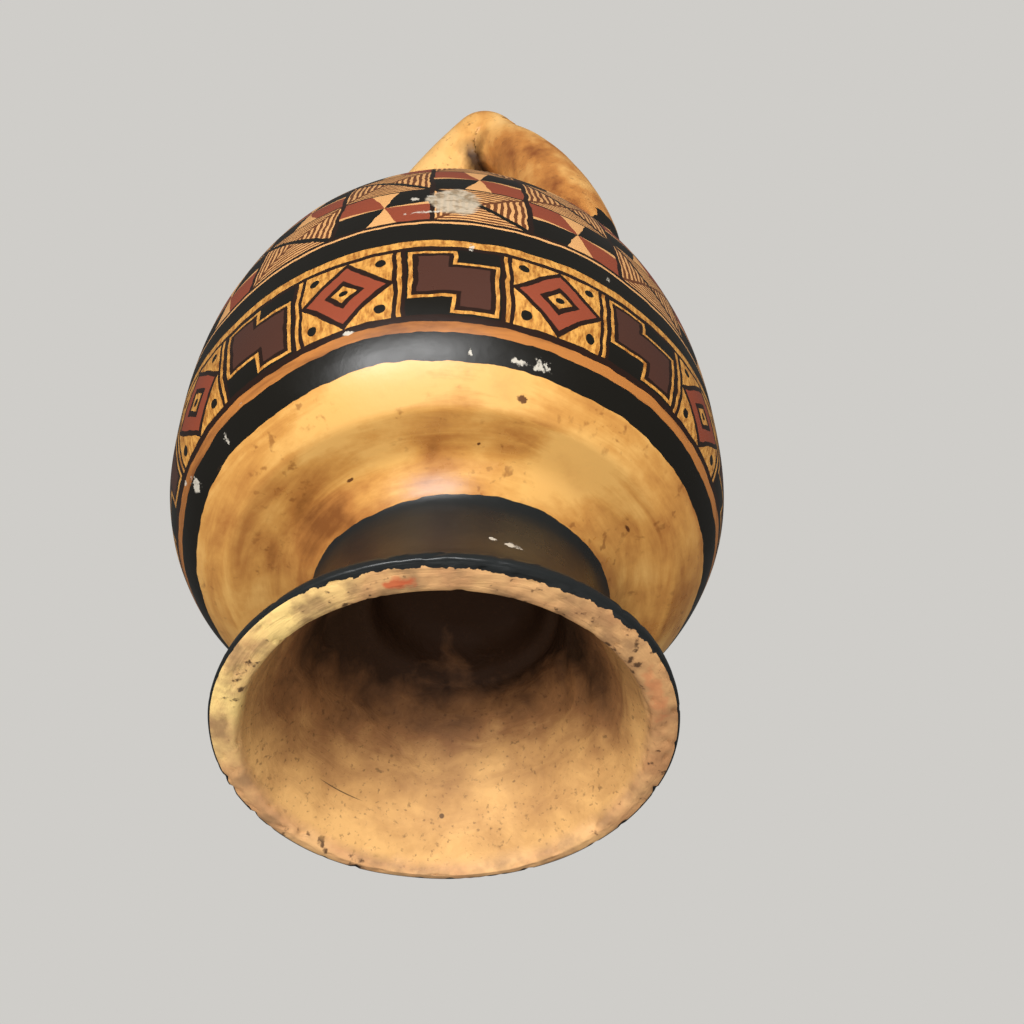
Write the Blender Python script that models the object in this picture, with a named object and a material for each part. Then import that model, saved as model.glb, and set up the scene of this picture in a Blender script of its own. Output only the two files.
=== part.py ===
# Stirrup spout vessel of fired clay: a hollow round body on a flared hollow foot, with a pointed
# stirrup of two hollow legs on top and a short spout that leans back a little from their meeting point.
# It is one fired piece. The stirrup's plane is XZ, and the origin is under the middle of the foot.

import math

import bpy
import bmesh
from mathutils import Matrix, Vector

MM = 0.001

# Foot
FOOT_RADIUS = 42.7 * MM
FOOT_RADIUS_INSIDE = 38.4 * MM
REST_RING_WIDTH = 2.6 * MM
LIP_HEIGHT = 2.6 * MM
NECK_RADIUS = 30.6 * MM
NECK_HEIGHT = 33.0 * MM
NECK_WAIST_INSET = 0.9 * MM
FLARE_POWER = 2.3
RECESS_RADIUS = 16.6 * MM
RECESS_RISE = 8.4 * MM
RECESS_LEDGE = 1.6 * MM

# Body
BODY_RADIUS = 59.4 * MM
WIDEST_HEIGHT = 79.5 * MM
BODY_TOP = 164.2 * MM
UNDERSIDE_POWER = 3.74
WALL = 5.4 * MM

# Stirrup
LEG_SPREAD = 34.8 * MM
STIRRUP_RISE = 75.0 * MM
APEX_SHIFT_X = 7.7 * MM
APEX_SHIFT_Y = 4.7 * MM
NEAR_LEG_POWER = 1.29
FAR_LEG_POWER = 1.51
LEG_RADIUS_LOW = 12.1 * MM
NEAR_LEG_RADIUS_HIGH = 8.1 * MM
FAR_LEG_RADIUS_HIGH = 10.7 * MM
LEG_WALL = 4.4 * MM

# Spout
SPOUT_LENGTH = 26.0 * MM
SPOUT_RADIUS_LOW = 8.5 * MM
SPOUT_RADIUS_HIGH = 7.5 * MM
SPOUT_LIP = 0.5 * MM
SPOUT_WALL = 2.9 * MM
SPOUT_LEAN = math.radians(21.0)
SPOUT_LEAN_HEADING = math.radians(119.0)

# How finely the round shapes are divided
BODY_SEGMENTS = 48
CAVITY_SEGMENTS = 32
FOOT_STEPS = 8
UNDERSIDE_STEPS = 9
SHOULDER_STEPS = 12
LEG_STEPS = 11
LEG_SIDES = 16
BORE_SIDES = 10
SPOUT_SIDES = 20
LEG_ROOT = 14.0 * MM
BALL_PROUD = 1.03
CUTTER_OVERRUN = 3.0 * MM

CLAY_COLOUR = (0.6, 0.34, 0.13, 1.0)
CLAY_ROUGHNESS = 0.38


def underside_depth():
    """Height from the widest ring down to where the underside's curve would close, so it passes the neck."""
    share = 1.0 - (NECK_RADIUS / BODY_RADIUS) ** 2
    return (WIDEST_HEIGHT - NECK_HEIGHT) / share ** (1.0 / UNDERSIDE_POWER)


def body_outline():
    """Points (radius, height) up the outside of the body, from the neck to the middle of the top."""
    points = []
    depth = underside_depth()
    for step in range(UNDERSIDE_STEPS):
        turn = step / UNDERSIDE_STEPS
        radius = NECK_RADIUS + (BODY_RADIUS - NECK_RADIUS) * math.sin(turn * math.pi / 2.0)
        drop = depth * (1.0 - (radius / BODY_RADIUS) ** 2) ** (1.0 / UNDERSIDE_POWER)
        points.append((radius, WIDEST_HEIGHT - drop))
    for step in range(SHOULDER_STEPS):
        turn = step / SHOULDER_STEPS * math.pi / 2.0
        height = WIDEST_HEIGHT + (BODY_TOP - WIDEST_HEIGHT) * math.sin(turn)
        points.append((BODY_RADIUS * math.cos(turn), height))
    points.append((0.0, BODY_TOP))
    return points


def foot_outline():
    """Points up the outside of the foot, from the flat rest ring to the neck."""
    rest_outer = FOOT_RADIUS_INSIDE + REST_RING_WIDTH
    points = [(FOOT_RADIUS_INSIDE, 0.0), (rest_outer, 0.0)]
    for step in range(1, 4):
        turn = step / 3 * math.pi / 2.0
        radius = rest_outer + (FOOT_RADIUS - rest_outer) * math.sin(turn)
        points.append((radius, LIP_HEIGHT * (1.0 - math.cos(turn)) * 0.7))
    low = LIP_HEIGHT
    waist = NECK_RADIUS - NECK_WAIST_INSET
    for step in range(FOOT_STEPS):
        height = low + (NECK_HEIGHT - low) * (step / FOOT_STEPS) * 0.94
        share = 1.0 - (height - low) / (NECK_HEIGHT - low)
        points.append((waist + (FOOT_RADIUS - waist) * share ** FLARE_POWER - 0.1 * MM, height))
    return points


def foot_hollow():
    """Points down the inside of the foot, from the middle of the recess to the rest ring's inner edge."""
    ceiling = NECK_HEIGHT + RECESS_RISE
    throat = NECK_RADIUS - WALL - NECK_WAIST_INSET
    ledge = NECK_HEIGHT * 0.98
    points = [
        (0.0, ceiling),
        (RECESS_RADIUS * 0.66, ceiling - 0.5 * MM),
        (RECESS_RADIUS * 0.9, ceiling - 2.3 * MM),
        (RECESS_RADIUS, ledge + RECESS_LEDGE),
        (RECESS_RADIUS + RECESS_LEDGE, ledge),
    ]
    low = LIP_HEIGHT * 0.6
    mouth = FOOT_RADIUS_INSIDE - 1.3 * MM
    for step in range(FOOT_STEPS + 1):
        share = step / FOOT_STEPS
        height = low + (ledge - 1.2 * MM - low) * (1.0 - share)
        radius = throat + (mouth - throat) * share ** 1.7
        points.append((radius, height))
    return points


def cavity_outline():
    """Points of the body's hollow: the floor over the foot's recess, then the outside less the wall."""
    outside = body_outline()
    floor = NECK_HEIGHT + RECESS_RISE + WALL
    points = [(0.0, floor), (RECESS_RADIUS * 0.9, floor - 0.6 * MM), (RECESS_RADIUS * 1.22, floor - 4.4 * MM)]
    for before, here, after in zip(outside, outside[1:], outside[2:]):
        along = Vector((after[0] - before[0], after[1] - before[1])).normalized()
        radius = here[0] - along.y * WALL
        height = here[1] + along.x * WALL
        points.append((radius, height))
    points[-1] = (points[-1][0], min(points[-1][1], BODY_TOP - WALL - 0.2 * MM))
    points.append((0.0, BODY_TOP - WALL))
    return points


def turned(name, points, segments):
    """Turn an outline that starts and ends on the axis into one closed body."""
    shape = bmesh.new()
    ring = [shape.verts.new((radius, 0.0, height)) for radius, height in points]
    edges = [shape.edges.new(pair) for pair in zip(ring, ring[1:])]
    bmesh.ops.spin(
        shape, geom=ring + edges, cent=(0, 0, 0), axis=(0, 0, 1), angle=math.tau, steps=segments, use_merge=True
    )
    bmesh.ops.remove_doubles(shape, verts=shape.verts, dist=0.00002)
    bmesh.ops.recalc_face_normals(shape, faces=shape.faces)
    mesh = bpy.data.meshes.new(name)
    shape.to_mesh(mesh)
    shape.free()
    piece = bpy.data.objects.new(name, mesh)
    bpy.context.scene.collection.objects.link(piece)
    return piece


def body_height_at(radius):
    """Height of the body's top surface at a distance from the axis."""
    share = math.sqrt(1.0 - (radius / BODY_RADIUS) ** 2)
    return WIDEST_HEIGHT + (BODY_TOP - WIDEST_HEIGHT) * share


def leg_path(side):
    """Centre line and tube size of one leg: side is +1 towards +X and -1 towards -X."""
    power = NEAR_LEG_POWER if side > 0 else FAR_LEG_POWER
    radius_high = NEAR_LEG_RADIUS_HIGH if side > 0 else FAR_LEG_RADIUS_HIGH
    base = body_height_at(LEG_SPREAD) - 1.5 * MM
    apex = BODY_TOP + STIRRUP_RISE
    path = [(Vector((side * LEG_SPREAD, 0.0, base - LEG_ROOT)), LEG_RADIUS_LOW)]
    for step in range(LEG_STEPS + 1):
        turn = (1.0 - step / LEG_STEPS) * math.pi / 2.0
        out = math.sin(turn) ** (2.0 / power)
        rise = math.cos(turn) ** (2.0 / power)
        shift = 1.0 - out * out
        path.append((
            Vector((side * LEG_SPREAD * out + APEX_SHIFT_X * shift, APEX_SHIFT_Y * shift, base + (apex - base) * rise)),
            LEG_RADIUS_LOW + (radius_high - LEG_RADIUS_LOW) * rise,
        ))
    return path


def leg_tube(name, side, thinner, sides):
    """A closed tube along one leg, as much thinner than its outside as asked."""
    curve = bpy.data.curves.new(name, "CURVE")
    curve.dimensions = "3D"
    curve.bevel_depth = 1.0
    curve.bevel_resolution = sides // 2 - 2
    curve.use_fill_caps = True
    path = leg_path(side)
    spline = curve.splines.new("POLY")
    spline.points.add(len(path) - 1)
    for point, (place, radius) in zip(spline.points, path):
        point.co = (*place, 1.0)
        point.radius = radius - thinner
    guide = bpy.data.objects.new(name + "_guide", curve)
    bpy.context.scene.collection.objects.link(guide)
    mesh = bpy.data.meshes.new_from_object(guide.evaluated_get(bpy.context.evaluated_depsgraph_get()))
    bpy.data.objects.remove(guide)
    shape = bmesh.new()
    shape.from_mesh(mesh)
    bmesh.ops.remove_doubles(shape, verts=shape.verts, dist=0.00002)
    bmesh.ops.recalc_face_normals(shape, faces=shape.faces)
    shape.to_mesh(mesh)
    shape.free()
    mesh.name = name
    piece = bpy.data.objects.new(name, mesh)
    bpy.context.scene.collection.objects.link(piece)
    return piece


def ball(name, radius, segments):
    """A ball where the two legs meet."""
    shape = bmesh.new()
    bmesh.ops.create_uvsphere(shape, u_segments=segments, v_segments=segments // 2, radius=radius)
    mesh = bpy.data.meshes.new(name)
    shape.to_mesh(mesh)
    shape.free()
    piece = bpy.data.objects.new(name, mesh)
    piece.location = (APEX_SHIFT_X, APEX_SHIFT_Y, BODY_TOP + STIRRUP_RISE)
    piece.rotation_euler = (math.radians(11.0), math.radians(5.0), math.radians(7.0))
    bpy.context.scene.collection.objects.link(piece)
    return piece


def on_spout(piece):
    """Stand a turned shape on the meeting point of the legs, leaning back as the spout does."""
    heading = Vector((math.cos(SPOUT_LEAN_HEADING), math.sin(SPOUT_LEAN_HEADING), 0.0))
    turn = Matrix.Rotation(SPOUT_LEAN, 4, Vector((0.0, 0.0, 1.0)).cross(heading))
    piece.matrix_world = Matrix.Translation((APEX_SHIFT_X, APEX_SHIFT_Y, BODY_TOP + STIRRUP_RISE)) @ turn
    return piece


def combine(target, tool, operation):
    """Join a shape to the vessel or cut it away, and keep it as a guide that isn't part of the object."""
    change = target.modifiers.new(operation.title() + " " + tool.name, "BOOLEAN")
    change.operation = operation
    change.solver = "EXACT"
    change.object = tool
    tool.hide_render = True
    tool.display_type = "WIRE"


for old in list(bpy.context.scene.objects):
    bpy.data.objects.remove(old, do_unlink=True)

clay = bpy.data.materials.new("Burnished cream clay")
clay.use_nodes = True
surface = clay.node_tree.nodes["Principled BSDF"]
surface.inputs["Base Color"].default_value = CLAY_COLOUR
surface.inputs["Roughness"].default_value = CLAY_ROUGHNESS
surface.inputs["Metallic"].default_value = 0.0
clay.diffuse_color = CLAY_COLOUR

# The body and its foot are turned as one outline: up the foot's inside is last, so it starts at the recess
outline = foot_hollow() + foot_outline() + body_outline()
vessel = turned("vessel", outline, BODY_SEGMENTS)
vessel.data.materials.append(clay)

# Stirrup legs, the rounded place where they meet, and the spout
combine(vessel, leg_tube("leg_near", 1, 0.0, LEG_SIDES), "UNION")
combine(vessel, leg_tube("leg_far", -1, 0.0, LEG_SIDES), "UNION")
combine(vessel, ball("leg_meeting", FAR_LEG_RADIUS_HIGH * BALL_PROUD, LEG_SIDES), "UNION")
spout_outline = [
    (0.0, 0.0),
    (SPOUT_RADIUS_LOW, 0.0),
    (SPOUT_RADIUS_LOW * 0.96, SPOUT_LENGTH * 0.45),
    (SPOUT_RADIUS_HIGH, SPOUT_LENGTH * 0.8),
    (SPOUT_RADIUS_HIGH + SPOUT_LIP, SPOUT_LENGTH - 1.6 * MM),
    (SPOUT_RADIUS_HIGH + SPOUT_LIP * 0.4, SPOUT_LENGTH),
    (0.0, SPOUT_LENGTH),
]
combine(vessel, on_spout(turned("spout", spout_outline, SPOUT_SIDES)), "UNION")

# Everything inside is one hollow: body, both legs, their meeting point and the spout
combine(vessel, turned("body_hollow", cavity_outline(), CAVITY_SEGMENTS), "DIFFERENCE")
combine(vessel, leg_tube("leg_near_bore", 1, LEG_WALL, BORE_SIDES), "DIFFERENCE")
combine(vessel, leg_tube("leg_far_bore", -1, LEG_WALL, BORE_SIDES), "DIFFERENCE")
bore_top = SPOUT_RADIUS_HIGH - SPOUT_WALL
combine(vessel, ball("meeting_bore", (FAR_LEG_RADIUS_HIGH - LEG_WALL) * 1.06, BORE_SIDES), "DIFFERENCE")
bore_outline = [
    (0.0, -0.5 * MM),
    (bore_top, -0.5 * MM),
    (bore_top, SPOUT_LENGTH + CUTTER_OVERRUN),
    (0.0, SPOUT_LENGTH + CUTTER_OVERRUN),
]
combine(vessel, on_spout(turned("spout_bore", bore_outline, BORE_SIDES + 2)), "DIFFERENCE")

vessel.data.shade_smooth()
vessel.data.set_sharp_from_angle(angle=math.radians(50.0))
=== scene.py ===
import math

import bmesh
import bpy
import numpy as np
from mathutils import Matrix, Vector


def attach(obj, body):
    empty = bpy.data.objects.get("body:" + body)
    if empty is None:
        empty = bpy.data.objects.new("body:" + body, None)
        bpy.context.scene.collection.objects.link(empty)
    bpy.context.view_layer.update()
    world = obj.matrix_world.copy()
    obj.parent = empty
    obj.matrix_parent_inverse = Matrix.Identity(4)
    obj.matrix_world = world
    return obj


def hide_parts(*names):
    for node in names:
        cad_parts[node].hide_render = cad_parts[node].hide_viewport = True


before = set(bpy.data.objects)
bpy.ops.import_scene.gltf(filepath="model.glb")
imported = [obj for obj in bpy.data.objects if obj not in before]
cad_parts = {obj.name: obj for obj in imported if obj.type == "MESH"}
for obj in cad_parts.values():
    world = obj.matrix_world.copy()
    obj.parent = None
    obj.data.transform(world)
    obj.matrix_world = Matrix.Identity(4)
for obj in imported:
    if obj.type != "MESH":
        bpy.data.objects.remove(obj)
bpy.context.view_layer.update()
scene = bpy.context.scene


# Camera
# The photograph looks into the foot from below the vessel, so the camera stands under the foot's
# plane, a hand's reach away, and looks up along the vessel's side towards the stirrup.
CAMERA_PLACE = (0.10457, -0.17702, -0.18412)
CAMERA_AIM = (-0.28736, 0.56915, 0.77039)
CAMERA_UP = (0.37696, -0.67220, 0.63722)
PHOTO_SIZE = 1024
FOCAL_PIXELS = 1500.0
SENSOR_WIDTH = 36.0

camera_data = bpy.data.cameras.new("camera")
camera_data.sensor_width = SENSOR_WIDTH
camera_data.lens = SENSOR_WIDTH * FOCAL_PIXELS / PHOTO_SIZE
camera_data.clip_start = 0.01
camera_data.clip_end = 50.0
camera = bpy.data.objects.new("camera", camera_data)
scene.collection.objects.link(camera)
back = -Vector(CAMERA_AIM).normalized()
up = Vector(CAMERA_UP).normalized()
side = up.cross(back)
camera.matrix_world = Matrix.Translation(CAMERA_PLACE) @ Matrix((side, up, back)).transposed().to_4x4()
scene.camera = camera


# Turned body and foot
# Fired clay, coiled and turned: a round body whose underside sweeps in to a waisted foot that
# flares to a rounded rim. Its wall is about 5 mm. Sizes are in millimetres, as a potter takes them.
MM = 0.001
FOOT_RADIUS = 42.7
FOOT_RADIUS_INSIDE = 38.4
REST_RING_WIDTH = 2.6
LIP_HEIGHT = 2.6
NECK_RADIUS = 30.6
NECK_HEIGHT = 33.0
NECK_WAIST_INSET = 2.2
FLARE_POWER = 2.3
NECK_TOP = 30.0
NECK_SHIFT = (2.0, 0.3)
UNDERSIDE_START = 45.0
NECK_CURVE = ((28.6, 31.8), (29.1, 33.2), (29.9, 34.4), (30.9, 35.7), (32.0, 37.0), (33.2, 38.1))
NECK_CURVE += ((34.6, 38.8), (36.5, 39.05), (40.0, 39.15))
WIDEST_REACH = 60.9
RECESS_RADIUS = 16.6
RECESS_RISE = 8.4
RECESS_LEDGE = 1.6
RECESS_SHIFT = (2.1, 1.1)
MOUTH_SHIFT = (-1.15, 2.0)
BODY_RADIUS = 59.4
WIDEST_HEIGHT = 79.5
BODY_TOP = 164.2
UNDERSIDE_POWER = 3.74
WALL = 5.4
LEDGE_HEIGHT = 32.34
THROAT_MARGIN = 3.2
MOUTH_INSET = 1.3
BOWL_POWER = 0.95
INNER_LIP_HEIGHT = 1.56
BOWL_POINTS = 30
FLARE_POINTS = 40
BODY_POINTS = 400
NECK_CROWDING = 1.6
RING_SPACING = 1.1
LIP_SPACING = 0.5
TURN_SEGMENTS = 264
RECESS_CEILING = NECK_HEIGHT + RECESS_RISE


def spaced(points, spacing):
    """The same line with points at even distances along it."""
    line = np.array(points, dtype=float)
    reach = np.concatenate([[0.0], np.cumsum(np.hypot(*np.diff(line, axis=0).T))])
    count = max(2, int(round(reach[-1] / spacing)) + 1)
    even = np.linspace(0.0, reach[-1], count)
    return np.stack([np.interp(even, reach, line[:, 0]), np.interp(even, reach, line[:, 1])], axis=1)


def softened(points, rounds):
    """The same line with its corners cut again and again, its two ends kept."""
    line = np.array(points, dtype=float)
    for _ in range(rounds):
        near = 0.75 * line[:-1] + 0.25 * line[1:]
        far = 0.25 * line[:-1] + 0.75 * line[1:]
        cut = np.stack([near, far], axis=1).reshape(-1, line.shape[1])
        line = np.concatenate([line[:1], cut, line[-1:]])
    return line


def body_radius(height):
    """Outside radius of the body at a height above its neck."""
    narrowed = 1.0 - (NECK_RADIUS / BODY_RADIUS) ** 2
    depth = (WIDEST_HEIGHT - NECK_HEIGHT) / narrowed ** (1.0 / UNDERSIDE_POWER)
    low = np.clip((WIDEST_HEIGHT - height) / depth, 0.0, 1.0) ** UNDERSIDE_POWER
    high = np.clip((height - WIDEST_HEIGHT) / (BODY_TOP - WIDEST_HEIGHT), 0.0, 1.0) ** 2
    return BODY_RADIUS * np.sqrt(1.0 - np.where(height < WIDEST_HEIGHT, low, high))


rest_outer = FOOT_RADIUS_INSIDE + REST_RING_WIDTH
waist = NECK_RADIUS - NECK_WAIST_INSET
mouth = FOOT_RADIUS_INSIDE - MOUTH_INSET
throat = RECESS_RADIUS + THROAT_MARGIN

# The hollow's outline, from its ceiling over the ledge and down the bowl to the rim
hollow_line = [(0.0, RECESS_CEILING), (RECESS_RADIUS * 0.66, RECESS_CEILING - 0.5)]
hollow_line += [(RECESS_RADIUS * 0.9, RECESS_CEILING - 2.3), (RECESS_RADIUS, LEDGE_HEIGHT + RECESS_LEDGE)]
hollow_line += [(RECESS_RADIUS + RECESS_LEDGE * 0.7, LEDGE_HEIGHT + 0.2)]
hollow_line += [(throat + 0.2, LEDGE_HEIGHT - 0.5)]
bowl_top = LEDGE_HEIGHT - 1.2
for share in np.linspace(0.0, 1.0, BOWL_POINTS):
    height = INNER_LIP_HEIGHT + (bowl_top - INNER_LIP_HEIGHT) * (1.0 - share)
    hollow_line.append((throat + (mouth - throat) * share ** BOWL_POWER, height))

# The rim's outline takes over the bowl's last points, so that the two run on smoothly
lip_line = [hollow_line.pop() for _ in range(3)][::-1]
hollow_line.append(lip_line[0])
lip_line += [(FOOT_RADIUS_INSIDE - 0.6, 0.45), (FOOT_RADIUS_INSIDE + 0.5, 0.0), (rest_outer + 0.2, 0.0)]
lip_line += [(FOOT_RADIUS - 0.1, 0.25), (FOOT_RADIUS + 0.5, 0.9), (FOOT_RADIUS + 0.2, LIP_HEIGHT)]

# The outside's outline: the flare of the foot, the rounded neck and the body
foot_line = []
for share in np.linspace(1.0, 0.0, FLARE_POINTS):
    height = LIP_HEIGHT + (NECK_TOP - LIP_HEIGHT) * (1.0 - share)
    foot_line.append((waist + (FOOT_RADIUS - waist) * share ** FLARE_POWER - 0.1, height))
turns = np.linspace(0.0, 1.0, BODY_POINTS)
under_heights = NECK_HEIGHT + (WIDEST_HEIGHT - NECK_HEIGHT) * turns ** NECK_CROWDING
over_heights = WIDEST_HEIGHT + (BODY_TOP - WIDEST_HEIGHT) * np.sin(turns * math.pi / 2.0)
body_line = [(float(body_radius(h)), float(h)) for h in np.concatenate([under_heights, over_heights[1:]])]
body_line[-1] = (0.0, BODY_TOP)
swept = [point for point in body_line if point[0] > UNDERSIDE_START or point[1] > WIDEST_HEIGHT]
foot_line += list(NECK_CURVE)

inside_points = spaced(softened(hollow_line, 2), RING_SPACING)
lip_points = spaced(softened(lip_line, 3), LIP_SPACING)[1:]
outside_points = spaced(softened(spaced(foot_line + swept, 0.5), 3), RING_SPACING)[1:]
outside_points[-1] = (0.0, BODY_TOP)
outline = np.concatenate([inside_points, lip_points, outside_points])
INSIDE_RINGS = len(inside_points)
OUTSIDE_RINGS = INSIDE_RINGS + int(np.argmax(lip_points[:, 0] > FOOT_RADIUS - 0.15))
outside_points = np.concatenate([lip_points[-2:], outside_points])
outside_reach = np.concatenate([[0.0], np.cumsum(np.hypot(*np.diff(outside_points, axis=0).T))])
neck_reach = float(np.interp(WIDEST_HEIGHT, outside_points[:, 1], outside_reach)) - WIDEST_REACH


def turned(name, line, segments, paint):
    """A closed body turned round the axis from a line that starts and ends on it."""
    angles = np.arange(segments) * (math.tau / segments)
    circle = np.stack([np.cos(angles), np.sin(angles)], axis=1)
    points = [(0.0, 0.0, line[0][1])]
    for radius, height in line[1:-1]:
        points += [(radius * c, radius * s, height) for c, s in circle]
    points.append((0.0, 0.0, line[-1][1]))
    faces = []
    rings = len(line) - 2
    for ring in range(rings + 1):
        for here in range(segments):
            after = (here + 1) % segments
            low = 1 + (ring - 1) * segments
            high = 1 + ring * segments
            if ring == 0:
                faces.append((0, high + after, high + here))
            elif ring == rings:
                faces.append((low + here, low + after, len(points) - 1))
            else:
                faces.append((low + here, low + after, high + after, high + here))
    mesh = bpy.data.meshes.new(name)
    mesh.from_pydata([(x * MM, y * MM, z * MM) for x, y, z in points], [], faces)
    for index, face in enumerate(mesh.polygons):
        face.material_index = paint(index // segments)
    shape = bmesh.new()
    shape.from_mesh(mesh)
    bmesh.ops.recalc_face_normals(shape, faces=shape.faces)
    shape.to_mesh(mesh)
    shape.free()
    piece = bpy.data.objects.new(name, mesh)
    scene.collection.objects.link(piece)
    return piece


SLIPS = (
    "Painted and burnished clay slip", "Bare fired clay of the foot",
    "Cream slip of the stirrup", "Unburnished inside",
)
slips = {}
for name in SLIPS:
    slips[name] = bpy.data.materials.new(name)
    slips[name].use_nodes = True
painted, bare, cream, inside = slips.values()

vessel = turned("turned_clay", outline, TURN_SEGMENTS, lambda ring: 1 if ring < OUTSIDE_RINGS else 0)

# The foot was cut and joined by hand, so its mouth, its recess and its neck each sit a little off the
# middle. Each shift fades out over a few millimetres of radius and height.
MOUTH_FADE_RADIUS = (41.3, 3.0)
MOUTH_FADE_HEIGHT = (14.0, 12.0)
RECESS_FADE_HEIGHT = (27.0, 5.0)
NECK_FADE_RADIUS = (52.0, 16.0)
count = len(vessel.data.vertices)
flat = np.empty(count * 3)
vessel.data.vertices.foreach_get("co", flat)
place = flat.reshape(-1, 3)
ring = np.clip((np.arange(count) - 1) // TURN_SEGMENTS + 1, 0, len(outline) - 1)
ring[0] = 0
radius, height = outline[ring].T


def below(measure, fade):
    """1 where a measure lies well below an edge and 0 above it. The fade is the edge, then its width."""
    return np.clip((fade[0] - measure) / fade[1], 0.0, 1.0)


at_mouth = below(radius, MOUTH_FADE_RADIUS) * below(height, MOUTH_FADE_HEIGHT) ** 1.5
at_recess = np.clip((height - RECESS_FADE_HEIGHT[0]) / RECESS_FADE_HEIGHT[1], 0.0, 1.0)
is_inside = (ring < OUTSIDE_RINGS)[:, None]
place[:, :2] += is_inside * at_mouth[:, None] * np.array(MOUTH_SHIFT) * MM
place[:, :2] += is_inside * at_recess[:, None] * np.array(RECESS_SHIFT) * MM
at_neck = np.clip(height / NECK_HEIGHT, 0.0, 1.0) * below(radius, NECK_FADE_RADIUS)
at_neck *= height < WIDEST_HEIGHT
place[:, :2] += ~is_inside * at_neck[:, None] * np.array(NECK_SHIFT) * MM
vessel.data.vertices.foreach_set("co", place.ravel())
vessel.data.materials.append(painted)
vessel.data.materials.append(bare)


# Stirrup and spout
# Two hollow clay tubes, rolled by hand, rise from the shoulder, bend in and meet in a point, and the
# short spout stands on their meeting. They are luted on with slip while the clay is soft.
LEG_SPREAD = 34.8
STIRRUP_RISE = 75.0
APEX_SHIFT = (7.7, 4.7)
NEAR_LEG_POWER = 1.29
FAR_LEG_POWER = 1.51
LEG_RADIUS_LOW = 12.1
NEAR_LEG_RADIUS_HIGH = 8.1
FAR_LEG_RADIUS_HIGH = 10.7
LEG_WALL = 4.4
LEG_ROOT = 14.0
LEG_SUNK = 1.5
LEG_BENDS = 12
LEG_RINGS = 90
LEG_SIDES = 48
BORE_SIDES = 16
SPOUT_LENGTH = 26.0
SPOUT_RADIUS_LOW = 8.5
SPOUT_RADIUS_HIGH = 7.5
SPOUT_LIP = 0.5
SPOUT_WALL = 2.9
SPOUT_SPACING = 0.9
BORE_FLARE = 1.0
MEETING_PROUD = 1.01
MEETING_TURN = math.radians(7.0)
SPOUT_LEAN = math.radians(21.0)
SPOUT_LEAN_HEADING = math.radians(119.0)
APEX = np.array([APEX_SHIFT[0], APEX_SHIFT[1], BODY_TOP + STIRRUP_RISE])


def leg_line(side, rings):
    """Points and outside radii along one leg's middle, from inside the body to the meeting point."""
    power = NEAR_LEG_POWER if side > 0 else FAR_LEG_POWER
    radius_high = NEAR_LEG_RADIUS_HIGH if side > 0 else FAR_LEG_RADIUS_HIGH
    shoulder = math.sqrt(1.0 - (LEG_SPREAD / BODY_RADIUS) ** 2)
    base = WIDEST_HEIGHT + (BODY_TOP - WIDEST_HEIGHT) * shoulder - LEG_SUNK
    turn = np.linspace(math.pi / 2.0, 0.0, LEG_BENDS)
    out = np.sin(turn) ** (2.0 / power)
    rise = np.cos(turn) ** (2.0 / power)
    shift = 1.0 - out ** 2
    middle = [side * LEG_SPREAD * out + APEX[0] * shift, APEX[1] * shift, base + (APEX[2] - base) * rise]
    middle = np.concatenate([[[side * LEG_SPREAD, 0.0, base - LEG_ROOT]], np.stack(middle, axis=1)])
    middle = softened(middle, 3)
    reach = np.concatenate([[0.0], np.cumsum(np.linalg.norm(np.diff(middle, axis=0), axis=1))])
    even = np.linspace(0.0, reach[-1], rings)
    middle = np.stack([np.interp(even, reach, middle[:, axis]) for axis in range(3)], axis=1)
    lift = np.clip((middle[:, 2] - base) / (APEX[2] - base), 0.0, 1.0)
    return middle, LEG_RADIUS_LOW + (radius_high - LEG_RADIUS_LOW) * lift


def add(tree, kind, *inputs, **settings):
    """Add one node, or the Math node of an operation, with its inputs in order and its settings by name."""
    if "Node" not in kind:
        kind, settings = "ShaderNodeMath", dict(settings, operation=kind)
    made = tree.nodes.new(kind)
    named = []
    for key, value in settings.items():
        if hasattr(made, key):
            setattr(made, key, value)
        else:
            named.append((made.inputs[key.replace("_", " ")], value))
    for socket, value in list(zip(made.inputs, inputs)) + named:
        if isinstance(value, bpy.types.Node):
            value = next(out for out in value.outputs if out.enabled)
        if isinstance(value, bpy.types.NodeSocket):
            tree.links.new(value, socket)
        elif value is not None:
            socket.default_value = value
    return made


rolled = bpy.data.node_groups.new("Rolled tube", "GeometryNodeTree")
rolled.interface.new_socket("Geometry", in_out="INPUT", socket_type="NodeSocketGeometry")
rolled.interface.new_socket("Thinner by", in_out="INPUT", socket_type="NodeSocketFloat")
rolled.interface.new_socket("Sides", in_out="INPUT", socket_type="NodeSocketInt")
rolled.interface.new_socket("Slip", in_out="INPUT", socket_type="NodeSocketMaterial")
rolled.interface.new_socket("Geometry", in_out="OUTPUT", socket_type="NodeSocketGeometry")
given = add(rolled, "NodeGroupInput")
thick = add(rolled, "GeometryNodeInputNamedAttribute", "thick", data_type="FLOAT")
thinner = add(rolled, "SUBTRACT", thick, given.outputs["Thinner by"])
path = add(rolled, "GeometryNodeMeshToCurve", given.outputs["Geometry"])
path = add(rolled, "GeometryNodeSetCurveRadius", path, True, thinner)
ring = add(rolled, "GeometryNodeCurvePrimitiveCircle", given.outputs["Sides"], mode="RADIUS", Radius=1.0)
tube = add(rolled, "GeometryNodeCurveToMesh", path, ring, Fill_Caps=True)
if "Scale" in tube.inputs:
    rolled.links.new(add(rolled, "GeometryNodeInputRadius").outputs[0], tube.inputs["Scale"])
tube = add(rolled, "GeometryNodeRealizeInstances", tube)
tube = add(rolled, "GeometryNodeSetMaterial", tube, True, given.outputs["Slip"])
add(rolled, "NodeGroupOutput", tube)


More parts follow.
